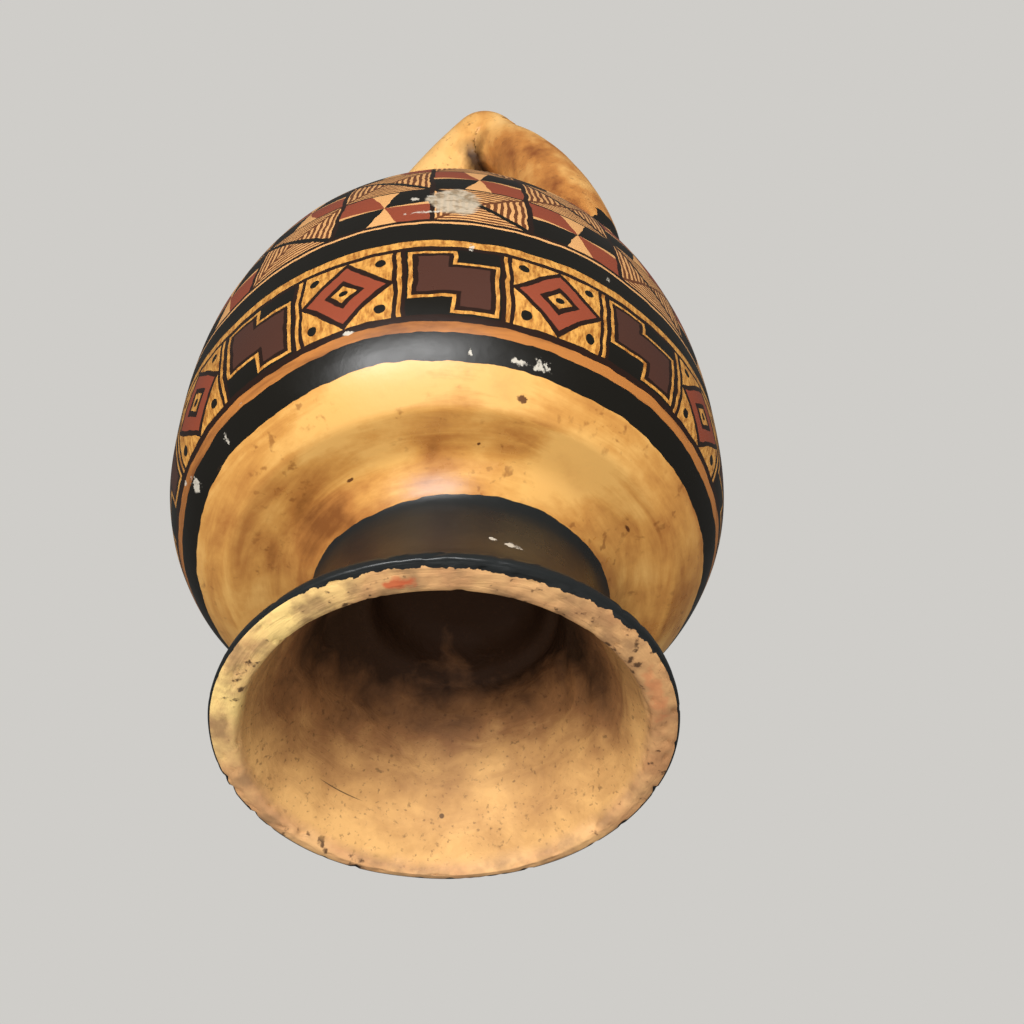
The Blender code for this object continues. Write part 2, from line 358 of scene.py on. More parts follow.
def plain_mesh(piece):
    """Turn what the modifiers make into the piece's own mesh, and take the modifiers off."""
    made = bpy.data.meshes.new_from_object(piece.evaluated_get(bpy.context.evaluated_depsgraph_get()))
    piece.modifiers.clear()
    old = piece.data
    piece.data = made
    bpy.data.meshes.remove(old)
    return piece


def tube_piece(name, side, thinner, sides, slip):
    """One leg, or its bore, as a closed tube."""
    middle, radii = leg_line(side, LEG_RINGS if sides > BORE_SIDES else LEG_RINGS // 3)
    mesh = bpy.data.meshes.new(name)
    mesh.from_pydata((middle * MM).tolist(), [(i, i + 1) for i in range(len(middle) - 1)], [])
    values = mesh.attributes.new("thick", "FLOAT", "POINT")
    values.data.foreach_set("value", radii * MM)
    piece = bpy.data.objects.new(name, mesh)
    scene.collection.objects.link(piece)
    roll = piece.modifiers.new("roll", "NODES")
    roll.node_group = rolled
    for item in rolled.interface.items_tree:
        wanted = {"Thinner by": thinner * MM, "Sides": sides, "Slip": slip}.get(item.name)
        if wanted is not None and item.in_out == "INPUT":
            roll[item.identifier] = wanted
    plain_mesh(piece)
    shape = bmesh.new()
    shape.from_mesh(piece.data)
    bmesh.ops.remove_doubles(shape, verts=shape.verts, dist=0.000001)
    bmesh.ops.recalc_face_normals(shape, faces=shape.faces)
    shape.to_mesh(piece.data)
    shape.free()
    return piece


def ball_piece(name, radius, segments, slip):
    """A ball where the legs meet."""
    shape = bmesh.new()
    bmesh.ops.create_uvsphere(shape, u_segments=segments, v_segments=segments // 2, radius=radius * MM)
    bmesh.ops.rotate(shape, verts=shape.verts, matrix=Matrix.Rotation(MEETING_TURN, 3, "Z"))
    bmesh.ops.translate(shape, verts=shape.verts, vec=Vector(APEX * MM))
    mesh = bpy.data.meshes.new(name)
    shape.to_mesh(mesh)
    shape.free()
    mesh.materials.append(slip)
    piece = bpy.data.objects.new(name, mesh)
    scene.collection.objects.link(piece)
    return piece


lean_way = Vector((math.cos(SPOUT_LEAN_HEADING), math.sin(SPOUT_LEAN_HEADING), 0.0))
lean_axis = Vector((0.0, 0.0, 1.0)).cross(lean_way)
spout_turn = Matrix.Translation(Vector(APEX * MM)) @ Matrix.Rotation(SPOUT_LEAN, 4, lean_axis)
spout_way = np.array(spout_turn.to_3x3() @ Vector((0.0, 0.0, 1.0)))


def spout_piece(name, line, segments, slip):
    """A turned shape stood on the meeting point, leaning as the spout does."""
    piece = turned(name, line, segments, lambda ring: 0)
    piece.data.transform(spout_turn)
    piece.data.materials.append(slip)
    return piece


high = SPOUT_RADIUS_HIGH + SPOUT_LIP
spout_line = softened([
    (0.0, 0.0), (SPOUT_RADIUS_LOW, 0.0), (SPOUT_RADIUS_LOW, 6.0),
    (SPOUT_RADIUS_LOW * 0.96, SPOUT_LENGTH * 0.45), (SPOUT_RADIUS_HIGH, SPOUT_LENGTH * 0.8),
    (high, SPOUT_LENGTH - 2.4), (high, SPOUT_LENGTH - 0.6), (high - 0.9, SPOUT_LENGTH),
    (3.0, SPOUT_LENGTH), (0.0, SPOUT_LENGTH),
], 2)
spout_line = spaced(spout_line, SPOUT_SPACING)
spout_bore = SPOUT_RADIUS_HIGH - SPOUT_WALL
flared_bore = spout_bore + BORE_FLARE
bore_line = [(0.0, -0.5), (spout_bore, -0.5), (spout_bore, SPOUT_LENGTH - 1.2)]
bore_line += [(flared_bore, SPOUT_LENGTH + 0.1), (flared_bore, SPOUT_LENGTH + 3.0), (0.0, SPOUT_LENGTH + 3.0)]

joined = [
    tube_piece("leg_near", 1, 0.0, LEG_SIDES, cream),
    tube_piece("leg_far", -1, 0.0, LEG_SIDES, cream),
    ball_piece("leg_meeting", FAR_LEG_RADIUS_HIGH * MEETING_PROUD, LEG_SIDES, cream),
    spout_piece("spout", spout_line, LEG_SIDES, cream),
]


# The hollow
# One hollow runs through the body, both legs and the spout. Nobody smooths it, so it keeps the bare,
# darker clay and shows only down the spout.
FLOOR_DISH = 1.4
SHELL_STEP = 12
HOLLOW_SIDES = 64
SPOUT_BORE_SIDES = 24
BORE_PROUD = 1.06
floor_height = RECESS_CEILING + WALL
floor_edge = floor_height - FLOOR_DISH
shell = np.array(body_line[::SHELL_STEP] + [body_line[-1]])
way = np.gradient(shell, axis=0)
way /= np.maximum(np.hypot(way[:, 0], way[:, 1]), 1e-9)[:, None]
offset = shell + np.stack([-way[:, 1], way[:, 0]], axis=1) * WALL
cavity = [(0.0, floor_height), (RECESS_RADIUS * 0.9, floor_height - 0.6), (RECESS_RADIUS * 1.6, floor_edge)]
for radius, height in offset[2:-2].tolist():
    if radius > 4.0 and floor_edge < height < BODY_TOP - WALL - 0.1:
        cavity.append((radius, height))
cavity += [(0.0, BODY_TOP - WALL)]
hollowed = [
    turned("body_hollow", cavity, HOLLOW_SIDES, lambda ring: 0),
    tube_piece("leg_near_bore", 1, LEG_WALL, BORE_SIDES, inside),
    tube_piece("leg_far_bore", -1, LEG_WALL, BORE_SIDES, inside),
    ball_piece("meeting_bore", (FAR_LEG_RADIUS_HIGH - LEG_WALL) * BORE_PROUD, BORE_SIDES, inside),
    spout_piece("spout_bore", bore_line, SPOUT_BORE_SIDES, inside),
]
hollowed[0].data.materials.append(inside)
for tool in joined + hollowed:
    change = vessel.modifiers.new(tool.name, "BOOLEAN")
    change.operation = "UNION" if tool in joined else "DIFFERENCE"
    change.solver = "EXACT"
    change.material_mode = "TRANSFER"
    change.object = tool
plain_mesh(vessel)
for tool in joined + hollowed:
    bpy.data.objects.remove(tool)


# Luted joins and measures for the slips
# Where the tubes are luted on, the clay is smeared into a soft hollow. Each point also keeps how far up
# the painted outside it lies and how far it stands off the body, in millimetres, for the painter's bands.
LUTE_AT_BODY = 7.0
LUTE_AT_MEETING = 4.5
FAR_AWAY = 99.0
ON_SURFACE = 0.4
AT_ONCE = 4000
CLEFT_REACH = 20.0
CLEFT_ON_NEAR_LEG = 2.5

mesh = vessel.data
count = len(mesh.vertices)
flat = np.empty(count * 3)
mesh.vertices.foreach_get("co", flat)
place = flat.reshape(-1, 3) / MM
normal = np.empty(count * 3)
mesh.vertex_normals.foreach_get("vector", normal)
normal = normal.reshape(-1, 3)
rho = np.hypot(place[:, 0], place[:, 1])

body_gap = np.full(count, FAR_AWAY)
near = np.nonzero(place[:, 2] > 100.0)[0]
rail = outside_points[outside_points[:, 1] > 90.0]
for start in range(0, len(near), AT_ONCE):
    some = near[start:start + AT_ONCE]
    step = np.hypot(rho[some, None] - rail[None, :, 0], place[some, 2, None] - rail[None, :, 1])
    body_gap[some] = step.min(axis=1)
outside_body = rho > np.interp(place[:, 2], rail[:, 1], rail[:, 0], left=0.0, right=-1.0)
body_gap = np.where(outside_body | (body_gap < 0.6), body_gap, -body_gap)

leg_gaps = []
for hand in (1, -1):
    middle, radii = leg_line(hand, 120)
    gap = np.full(count, FAR_AWAY)
    for start in range(0, len(near), AT_ONCE):
        some = near[start:start + AT_ONCE]
        step = np.linalg.norm(place[some, None, :] - middle[None, 1:, :], axis=2) - radii[None, 1:]
        gap[some] = step.min(axis=1)
    leg_gaps.append(gap)
along = (place - APEX) @ spout_way
aside = np.linalg.norm(place - APEX - along[:, None] * spout_way, axis=1)
spout_gap = np.where(along > 0.0, aside - np.interp(along, spout_line[3:, 1], spout_line[3:, 0]), FAR_AWAY)
leg_gap = np.minimum(*leg_gaps)


def luted(gap, reach):
    """How far clay smeared over this reach stands out, where the next surface is this far off."""
    return np.clip(1.0 - np.clip(gap, 0.0, None) / reach, 0.0, 1.0) ** 2 * reach / 4.0


on_body = np.abs(body_gap) < ON_SURFACE
on_leg = np.abs(leg_gap) < ON_SURFACE
to_next = np.where(on_body, leg_gap, np.where(on_leg, np.maximum(body_gap, 0.0), FAR_AWAY))
gaps = np.sort(np.stack(leg_gaps + [spout_gap], axis=1), axis=1)
top = (place[:, 2] > BODY_TOP + 20.0) & (np.abs(gaps[:, 0]) < ON_SURFACE)
outside = np.where(body_gap > -0.5, luted(to_next, LUTE_AT_BODY), 0.0)
push = np.where(top, luted(gaps[:, 1], LUTE_AT_MEETING), outside)
place = place + normal * push[:, None]
mesh.vertices.foreach_set("co", (place * MM).ravel())

rise = np.interp(place[:, 2], outside_points[:, 1], outside_reach - neck_reach)
on_near_leg = np.abs(leg_gaps[0]) < np.abs(leg_gaps[1])
cleft = np.maximum(*leg_gaps) + CLEFT_ON_NEAR_LEG * on_near_leg
cleft = np.where(top, np.clip(cleft, 0.0, CLEFT_REACH), CLEFT_REACH)
for name, values in (("rise", rise), ("off_body", body_gap), ("cleft", cleft)):
    mesh.attributes.new(name, "FLOAT", "POINT").data.foreach_set("value", values.astype(np.float32))


# Hand finish
# No potter's surface is true: the wall wanders by a third of a millimetre, the inside of the foot keeps
# faint finger rings, and the rim is nicked where it has stood and knocked for centuries.
BARE_ZONE = 1
INSIDE_ZONE = 3
WANDER_MM = 26.316
RING_WANDER_MM = 33.333
NICK_MM = 2.381
FINGER_RING_MM = 4.1888


def patch(across):
    """Noise scale whose patches are this many millimetres across."""
    return 1.0 / (across * MM)


zone = np.empty(len(mesh.polygons), dtype=np.int32)
mesh.polygons.foreach_get("material_index", zone)
order = [mesh.materials.find(slip.name) for slip in slips.values()]
kinds = [order.index(slot) if slot in order else INSIDE_ZONE for slot in range(len(mesh.materials))]
zone = np.array(kinds, dtype=np.int32)[zone]
mesh.attributes.new("zone", "INT", "FACE").data.foreach_set("value", zone)

worked = bpy.data.node_groups.new("Hand-worked clay", "GeometryNodeTree")
worked.interface.new_socket("Geometry", in_out="INPUT", socket_type="NodeSocketGeometry")
worked.interface.new_socket("Wander", in_out="INPUT", socket_type="NodeSocketFloat")
worked.interface.new_socket("Finger rings", in_out="INPUT", socket_type="NodeSocketFloat")
worked.interface.new_socket("Nick depth", in_out="INPUT", socket_type="NodeSocketFloat")
worked.interface.new_socket("Geometry", in_out="OUTPUT", socket_type="NodeSocketGeometry")

# Each noise is shifted so that it presses the clay in and doesn't swell it past its size
given = add(worked, "NodeGroupInput")
where = add(worked, "GeometryNodeInputPosition")
spread = add(worked, "ShaderNodeSeparateXYZ", where)
facing = add(worked, "GeometryNodeInputNormal")
wander = add(worked, "ShaderNodeTexNoise", where, noise_dimensions="3D", Scale=patch(WANDER_MM), Detail=1.0)
wander = add(worked, "SUBTRACT", wander, 0.78)
wander = add(worked, "MULTIPLY", wander, given.outputs["Wander"])
zone_of = add(worked, "GeometryNodeInputNamedAttribute", "zone", data_type="INT")
compared = {"data_type": "INT", "operation": "EQUAL"}
bare_here = add(worked, "FunctionNodeCompare", None, None, zone_of, BARE_ZONE, **compared)
rings = add(worked, "MULTIPLY", spread.outputs["Z"], math.tau / (FINGER_RING_MM * MM))
ring_wander = add(worked, "ShaderNodeTexNoise", where, Scale=patch(RING_WANDER_MM))
rings = add(worked, "MULTIPLY_ADD", rings, ring_wander, 2.5)
rings = add(worked, "SINE", rings)
rings = add(worked, "SUBTRACT", rings, 1.1)
rings = add(worked, "MULTIPLY", rings, given.outputs["Finger rings"])
rings = add(worked, "MULTIPLY", rings, bare_here.outputs[0])
pits = add(worked, "ShaderNodeTexNoise", where, Scale=patch(NICK_MM), Detail=3.0, Roughness=0.6)
pits = add(worked, "ShaderNodeMapRange", pits, 0.56, 0.7, 0.0, -1.0)
at_rim = add(worked, "ShaderNodeMapRange", spread.outputs["Z"], 0.0005, 0.005, 1.0, 0.0)
pits = add(worked, "MULTIPLY", pits, at_rim)
pits = add(worked, "MULTIPLY", pits, given.outputs["Nick depth"])
total = add(worked, "ADD", add(worked, "ADD", wander, rings), pits)
shove = add(worked, "ShaderNodeVectorMath", facing, operation="SCALE", Scale=total)
shaped = add(worked, "GeometryNodeSetPosition", given.outputs["Geometry"], True, None, shove)
shaped = add(worked, "GeometryNodeSetShadeSmooth", shaped, True, True)
shaped = add(worked, "GeometryNodeRealizeInstances", shaped)
for index, slip in enumerate(slips.values()):
    same = add(worked, "FunctionNodeCompare", None, None, zone_of, index, **compared)
    shaped = add(worked, "GeometryNodeSetMaterial", shaped, same.outputs[0], slip)
add(worked, "NodeGroupOutput", shaped)

finish = vessel.modifiers.new("finish", "NODES")
finish.node_group = worked
for item in worked.interface.items_tree:
    wanted = {"Wander": 0.0007, "Finger rings": 0.00012, "Nick depth": 0.0007}.get(item.name)
    if wanted is not None and item.in_out == "INPUT":
        finish[item.identifier] = wanted
plain_mesh(vessel)
vessel.name = "vessel_clay"
vessel.data.name = "vessel_clay"
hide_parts("vessel")
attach(vessel, "root")


# Painted and burnished clay slip
# The outside is coated in cream slip, painted with black, brick red and purple-brown slips and rubbed
# with a stone before firing, so it has a soft sheen, brush-drawn edges, brown dirt and worn spots.
def rgb(code):
    """Linear colour of an sRGB hex code."""
    parts = [int(code[i:i + 2], 16) / 255.0 for i in (1, 3, 5)]
    return tuple(p / 12.92 if p <= 0.04045 else ((p + 0.055) / 1.055) ** 2.4 for p in parts) + (1.0,)


BLACK = "#161410"
FOOT_BLACK = "#1e2020"
LINE_BROWN = "#24150f"
RED = "#873f29"
PURPLE = "#472b22"
OCHRE_LIGHT = "#cf9648"
OCHRE_DARK = "#925a22"
ORANGE = "#aa6c34"
CREAM = "#d39c62"
HATCH_LINE = "#64381d"
UNDER_DARK = "#7c4a20"
UNDER_BROWN = "#a86e34"
UNDER_OCHRE = "#c48c46"
UNDER_LIGHT = "#d9a65c"
CHIP_WHITE = "#c9c1b2"
ABRADED = "#b9ab95"
ABRADED_DARK = "#7d6a50"
NICK = "#47200f"
PANEL_DEGREES = 20.0
PANEL_MM = 20.0
PANEL_START = 89.5
CELL_START = 84.0
FOOT_TOP = -1.7
BAND_LOW = 24.7
ORANGE_LOW = 30.2
LINE_LOW = 32.3
PANEL_LOW = 33.8
PANEL_HIGH = 53.8
CREAM_LOW = 55.1
BLACK_LOW = 57.6
BLACK_HIGH = 64.7
FINE_HIGH = 65.5
CELLS_LOW = 66.2
CELL_HEIGHT = 17.5
CROWN_LOW = CELLS_LOW + 3.0 * CELL_HEIGHT
CROWN_BLACK = 5.0
WAVER_MM = 4.762
DRIFT_MM = 38.46
CLOUD_MM = 20.83
STAIN_MM = 45.45
FLECK_MM = 1.923
CHIP_EDGE_MM = 1.5625
GRIT_MM = 1.4286
BAND_SAGS = ((-10.0, 30.0, -2.4), (60.0, 150.0, 2.4), (-110.0, -138.0, 1.5), (-142.0, -180.0, -1.5))
NOISE = "ShaderNodeTexNoise"
RANGE = "ShaderNodeMapRange"
VECTOR = "ShaderNodeVectorMath"


def painted_over(tree, ground, where_painted, colour):
    """One slip brushed over what is there, where a mask says."""
    under, over = (rgb(slip) if isinstance(slip, str) else slip for slip in (ground, colour))
    between = (None,) * 5
    mixed = add(tree, "ShaderNodeMix", where_painted, *between, under, over, data_type="RGBA")
    return mixed.outputs[2]


def shades(tree, measure, stops):
    """Colours laid along a measure: pairs of a place from 0 to 1 and a hex code."""
    ramp = add(tree, "ShaderNodeValToRGB", measure)
    points = ramp.color_ramp.elements
    while len(points) < len(stops):
        points.new(0.5)
    for point, (place_at, code) in zip(points, stops):
        point.position = place_at
        point.color = rgb(code)
    return ramp.outputs["Color"]


def spots(tree, sheet, marks):
    """How far each point is from the nearest of some oval marks, 1 at their edges."""
    nearest = 9.0
    for angle, rise_at, half_wide, half_high in marks:
        away = add(tree, VECTOR, sheet, (angle, rise_at, 0.0), operation="SUBTRACT")
        away = add(tree, VECTOR, away, (1.0 / half_wide, 1.0 / half_high, 0.0), operation="MULTIPLY")
        away = add(tree, VECTOR, away, operation="LENGTH").outputs["Value"]
        nearest = add(tree, "MINIMUM", away, nearest)
    return nearest


def swayed(tree, measure, noise, reach):
    """A measure moved to and fro by a noise, over this reach in all."""
    return add(tree, "MULTIPLY_ADD", add(tree, "SUBTRACT", noise, 0.5), reach, measure)


def degrees_from(tree, turn, angle):
    """How many degrees round the vessel from an angle."""
    return add(tree, "ABSOLUTE", add(tree, "ADD", turn, -angle))


tree = painted.node_tree
surface = tree.nodes["Principled BSDF"]
spot = add(tree, "ShaderNodeTexCoord").outputs["Object"]
xyz = add(tree, "ShaderNodeSeparateXYZ", spot)
turn = add(tree, "MULTIPLY", add(tree, "ARCTAN2", xyz.outputs["Y"], xyz.outputs["X"]), 180.0 / math.pi)
high = add(tree, "ShaderNodeAttribute", attribute_name="rise").outputs["Fac"]
sheet = add(tree, "ShaderNodeCombineXYZ", turn, high, 0.0)

# A hand-held brush wavers by a fraction of a millimetre, and its bands drift by one or two
waver = add(tree, NOISE, spot, Scale=patch(WAVER_MM), Detail=2.0)
waver = add(tree, "ShaderNodeSeparateColor", waver.outputs["Color"])
drift = add(tree, NOISE, spot, Scale=patch(DRIFT_MM), Detail=1.0)
drift = add(tree, "ShaderNodeSeparateColor", drift.outputs["Color"])
hand_turn = swayed(tree, swayed(tree, turn, waver.outputs[0], 1.3), drift.outputs[0], 4.0)
hand_high = swayed(tree, swayed(tree, high, waver.outputs[1], 1.1), drift.outputs[1], 3.4)

# The low bands sag and lift on their way round, and the high ones dip once at the front
sag = 0.0
for start, end, drop in BAND_SAGS:
    sag = add(tree, "ADD", add(tree, RANGE, turn, start, end, 0.0, drop), sag)
hand_high = add(tree, "MULTIPLY_ADD", sag, add(tree, RANGE, high, 30.0, 45.0, 1.0, 0.0), hand_high)
dip = add(tree, RANGE, turn, -60.0, -15.0, 0.0, 3.4)
dip = add(tree, "MULTIPLY", dip, add(tree, RANGE, turn, 5.0, 40.0, 1.0, 0.0))
hand_high = add(tree, "MULTIPLY_ADD", dip, add(tree, RANGE, high, 38.0, 58.0, 0.0, 1.0), hand_high)

# Ochre ground: thin streaky slip, so each stroke shows lighter and darker
around = add(tree, "ShaderNodeCombineXYZ", xyz.outputs["X"], xyz.outputs["Y"], 0.0)
around = add(tree, VECTOR, around, operation="NORMALIZE")
upward = add(tree, "ShaderNodeCombineXYZ", 0.0, 0.0, high)
strokes = add(tree, VECTOR, upward, (0.0, 0.0, 0.12), operation="MULTIPLY")
strokes = add(tree, VECTOR, around, (20.0, 20.0, 0.0), strokes, operation="MULTIPLY_ADD")
strokes = add(tree, NOISE, strokes, Scale=3.2, Detail=3.0, Roughness=0.62)
rubbed = add(tree, VECTOR, upward, (0.0, 0.0, 0.16), operation="MULTIPLY")
rubbed = add(tree, VECTOR, around, (1.3, 1.3, 0.0), rubbed, operation="MULTIPLY_ADD")
rubbed = add(tree, NOISE, rubbed, Scale=1.5, Detail=5.0, Roughness=0.6, Distortion=0.5)
ochre = painted_over(tree, OCHRE_LIGHT, add(tree, RANGE, strokes, 0.40, 0.66, 0.0, 1.0), OCHRE_DARK)
orange = painted_over(tree, ORANGE, add(tree, RANGE, rubbed, 0.46, 0.66, 0.0, 0.8), HATCH_LINE)

# Frieze: a diamond panel and a stepped panel take turns, with a drawn double border between them
across = add(tree, "DIVIDE", add(tree, "ADD", hand_turn, PANEL_START), PANEL_DEGREES)
panel_odd = add(tree, "FLOORED_MODULO", add(tree, "FLOOR", across), 2.0)
x = add(tree, "SUBTRACT", add(tree, "FLOORED_MODULO", across, 1.0), 0.5)
x = add(tree, "MULTIPLY", x, PANEL_MM)
y = add(tree, "SUBTRACT", hand_high, (PANEL_LOW + PANEL_HIGH) / 2.0)
wide = add(tree, "ABSOLUTE", x)
tall = add(tree, "ABSOLUTE", y)
from_edge = add(tree, "SUBTRACT", PANEL_MM / 2.0, wide)

diamond = add(tree, "ADD", add(tree, "DIVIDE", wide, 8.9), add(tree, "DIVIDE", tall, 9.8))
dot_x = add(tree, "DIVIDE", add(tree, "SUBTRACT", wide, 6.6), 0.95)
dot_y = add(tree, "DIVIDE", add(tree, "SUBTRACT", tall, 7.2), 1.2)
corner_dot = add(tree, "ADD", add(tree, "POWER", dot_x, 2.0), add(tree, "POWER", dot_y, 2.0))
middle_dot = add(tree, "ADD", add(tree, "POWER", x, 2.0), add(tree, "POWER", y, 2.0))
diamond_panel = painted_over(tree, ochre, add(tree, "LESS_THAN", corner_dot, 1.0), BLACK)
for reach, slip in ((1.04, LINE_BROWN), (0.87, RED), (0.46, LINE_BROWN), (0.28, ochre)):
    diamond_panel = painted_over(tree, diamond_panel, add(tree, "LESS_THAN", diamond, reach), slip)
diamond_panel = painted_over(tree, diamond_panel, add(tree, "LESS_THAN", middle_dot, 0.8), BLACK)

step = add(tree, "MAXIMUM", add(tree, "SUBTRACT", wide, 8.45), add(tree, "SUBTRACT", tall, 9.5))
for side, corner_x, corner_y in ((1.0, 0.6, 5.4), (-1.0, 0.5, 5.3)):
    in_x = add(tree, "MULTIPLY_ADD", x, side, -corner_x)
    in_y = add(tree, "MULTIPLY_ADD", y, side, -corner_y)
    step = add(tree, "MAXIMUM", step, add(tree, "MINIMUM", in_x, in_y))
step_panel = BLACK
for inset, slip in ((0.0, ochre), (-0.75, LINE_BROWN), (-1.7, PURPLE)):
    step_panel = painted_over(tree, step_panel, add(tree, "LESS_THAN", step, inset), slip)

frieze = painted_over(tree, diamond_panel, panel_odd, step_panel)
frieze = painted_over(tree, frieze, add(tree, "LESS_THAN", from_edge, 1.2), LINE_BROWN)
frieze = painted_over(tree, frieze, add(tree, "LESS_THAN", from_edge, 0.38), ochre)

# Upper rows: red and black blocks take turns with squares of hatching, as in woven cloth
cell = add(tree, "DIVIDE", add(tree, "ADD", hand_turn, CELL_START), PANEL_DEGREES)
row = add(tree, "DIVIDE", add(tree, "SUBTRACT", hand_high, CELLS_LOW), CELL_HEIGHT)
cell_odd = add(tree, "ADD", add(tree, "FLOOR", cell), add(tree, "FLOOR", row))
cell_odd = add(tree, "FLOORED_MODULO", cell_odd, 2.0)
along_cell = add(tree, "MULTIPLY_ADD", add(tree, "FLOORED_MODULO", cell, 1.0), 2.0, -1.0)
up_cell = add(tree, "MULTIPLY_ADD", add(tree, "FLOORED_MODULO", row, 1.0), 2.0, -1.0)
off_centre = add(tree, "ABSOLUTE", along_cell)
off_level = add(tree, "ABSOLUTE", up_cell)
black_block = add(tree, "GREATER_THAN", add(tree, "MULTIPLY", along_cell, up_cell), 0.0)
blocks = painted_over(tree, RED, black_block, BLACK)
gusset = add(tree, "LESS_THAN", off_centre, add(tree, "MULTIPLY", off_level, 0.3))
sliver = add(tree, "LESS_THAN", off_level, add(tree, "MULTIPLY", off_centre, 0.08))
blocks = painted_over(tree, blocks, add(tree, "MAXIMUM", gusset, sliver), CREAM)

hatch = add(tree, "MULTIPLY", add(tree, "MAXIMUM", off_centre, off_level), 7.2)
hatch = add(tree, "FLOORED_MODULO", hatch, 1.0)
hatch = add(tree, "LESS_THAN", hatch, add(tree, RANGE, waver.outputs[2], 0.3, 0.7, 0.40, 0.62))
hatched = painted_over(tree, CREAM, hatch, HATCH_LINE)
rising = add(tree, "ABSOLUTE", add(tree, "SUBTRACT", along_cell, up_cell))
falling = add(tree, "ABSOLUTE", add(tree, "ADD", along_cell, up_cell))
hatched = painted_over(tree, hatched, add(tree, "LESS_THAN", rising, 0.06), HATCH_LINE)
hatched = painted_over(tree, hatched, add(tree, "LESS_THAN", falling, 0.10), BLACK)
cells = painted_over(tree, blocks, cell_odd, hatched)
border = add(tree, "MAXIMUM", off_centre, add(tree, "SUBTRACT", off_level, 0.012))
cells = painted_over(tree, cells, add(tree, "GREATER_THAN", border, 0.945), LINE_BROWN)

# Underside and crown: plain cream slip, burnished round and round, with brown dirt along the strokes
cloudy = add(tree, NOISE, spot, Scale=patch(CLOUD_MM), Detail=6.0, Roughness=0.62)
patches = add(tree, NOISE, spot, Scale=patch(STAIN_MM), Detail=3.0, Roughness=0.5, Distortion=0.6)
under = add(tree, "MULTIPLY_ADD", cloudy, 0.35, add(tree, "MULTIPLY", rubbed, 0.30))
under = add(tree, "MULTIPLY_ADD", patches, 0.35, under)
stained_side = add(tree, RANGE, degrees_from(tree, turn, -112.0), 30.0, 60.0, 1.0, 0.2)
near_foot = add(tree, "MULTIPLY", add(tree, RANGE, high, 9.0, 2.0, 0.0, 0.06), stained_side)
under = add(tree, "SUBTRACT", under, near_foot)
brown = spots(tree, sheet, ((-112.0, 3.0, 16.0, 5.0), (-134.0, 15.0, 9.0, 6.0)))
under = add(tree, "SUBTRACT", under, add(tree, RANGE, brown, 0.1, 1.5, 0.06, 0.0))
light = spots(tree, sheet, ((-100.0, 18.5, 14.0, 6.0), (-25.0, 13.0, 10.0, 4.0)))
under = add(tree, "ADD", under, add(tree, RANGE, light, 0.2, 1.3, 0.06, 0.0))
under_stops = ((0.33, UNDER_DARK), (0.41, UNDER_BROWN), (0.48, UNDER_OCHRE), (0.55, UNDER_LIGHT))
colour = shades(tree, under, under_stops)
flecks = add(tree, NOISE, spot, Scale=patch(FLECK_MM), Detail=2.0)
ragged = add(tree, NOISE, spot, Scale=patch(CHIP_EDGE_MM), Detail=4.0, Roughness=0.7)
ragged = add(tree, "SUBTRACT", ragged, 0.5)
dusty = add(tree, RANGE, flecks, 0.60, 0.70, 0.0, 0.6)
dusty = add(tree, "MULTIPLY", dusty, add(tree, RANGE, cloudy, 0.52, 0.42, 0.0, 1.0))
colour = painted_over(tree, colour, dusty, UNDER_DARK)
nicks = spots(tree, sheet, (
    (-43.5, 19.4, 1.3, 0.8), (-51.2, 7.7, 0.6, 0.4), (-92.4, 5.5, 1.5, 0.3), (4.0, 8.0, 1.5, 0.4),
))
nicks = add(tree, "MULTIPLY_ADD", ragged, 2.4, nicks)
colour = painted_over(tree, colour, add(tree, RANGE, nicks, 0.75, 1.1, 0.9, 0.0), NICK)

for low, top_edge, slip in (
    (-FAR_AWAY, FOOT_TOP, FOOT_BLACK), (BAND_LOW, ORANGE_LOW, BLACK), (ORANGE_LOW, LINE_LOW, orange),
    (LINE_LOW, PANEL_LOW, LINE_BROWN), (PANEL_LOW, PANEL_HIGH, frieze), (PANEL_HIGH, CREAM_LOW, LINE_BROWN),
    (CREAM_LOW, BLACK_LOW, ochre), (BLACK_LOW, BLACK_HIGH, BLACK), (BLACK_HIGH, FINE_HIGH, CREAM),
    (FINE_HIGH, CELLS_LOW, LINE_BROWN), (CELLS_LOW, CROWN_LOW, cells),
    (CROWN_LOW, CROWN_LOW + CROWN_BLACK, BLACK),
):
    in_band = add(tree, "GREATER_THAN", hand_high, low)
    in_band = add(tree, "MULTIPLY", in_band, add(tree, "LESS_THAN", hand_high, top_edge))
    colour = painted_over(tree, colour, in_band, slip)

# Wear: slips rubbed thin, one patch abraded to pale clay, and white chips along the lower black band
rubbed_thin = add(tree, RANGE, cloudy, 0.60, 0.74, 0.0, 0.28)
on_cream = add(tree, "ABSOLUTE", add(tree, "SUBTRACT", high, BAND_LOW / 2.0))
on_cream = add(tree, "LESS_THAN", on_cream, BAND_LOW / 2.0)
rubbed_thin = add(tree, "MULTIPLY", rubbed_thin, on_cream)
colour = painted_over(tree, colour, rubbed_thin, UNDER_BROWN)
abraded = spots(tree, sheet, ((-58.5, 75.0, 5.6, 7.5),))
abraded = swayed(tree, abraded, cloudy, 2.6)
pale = painted_over(tree, ABRADED, add(tree, RANGE, flecks, 0.45, 0.62, 0.0, 0.8), ABRADED_DARK)
colour = painted_over(tree, colour, add(tree, RANGE, abraded, 0.8, 0.95, 0.9, 0.0), pale)
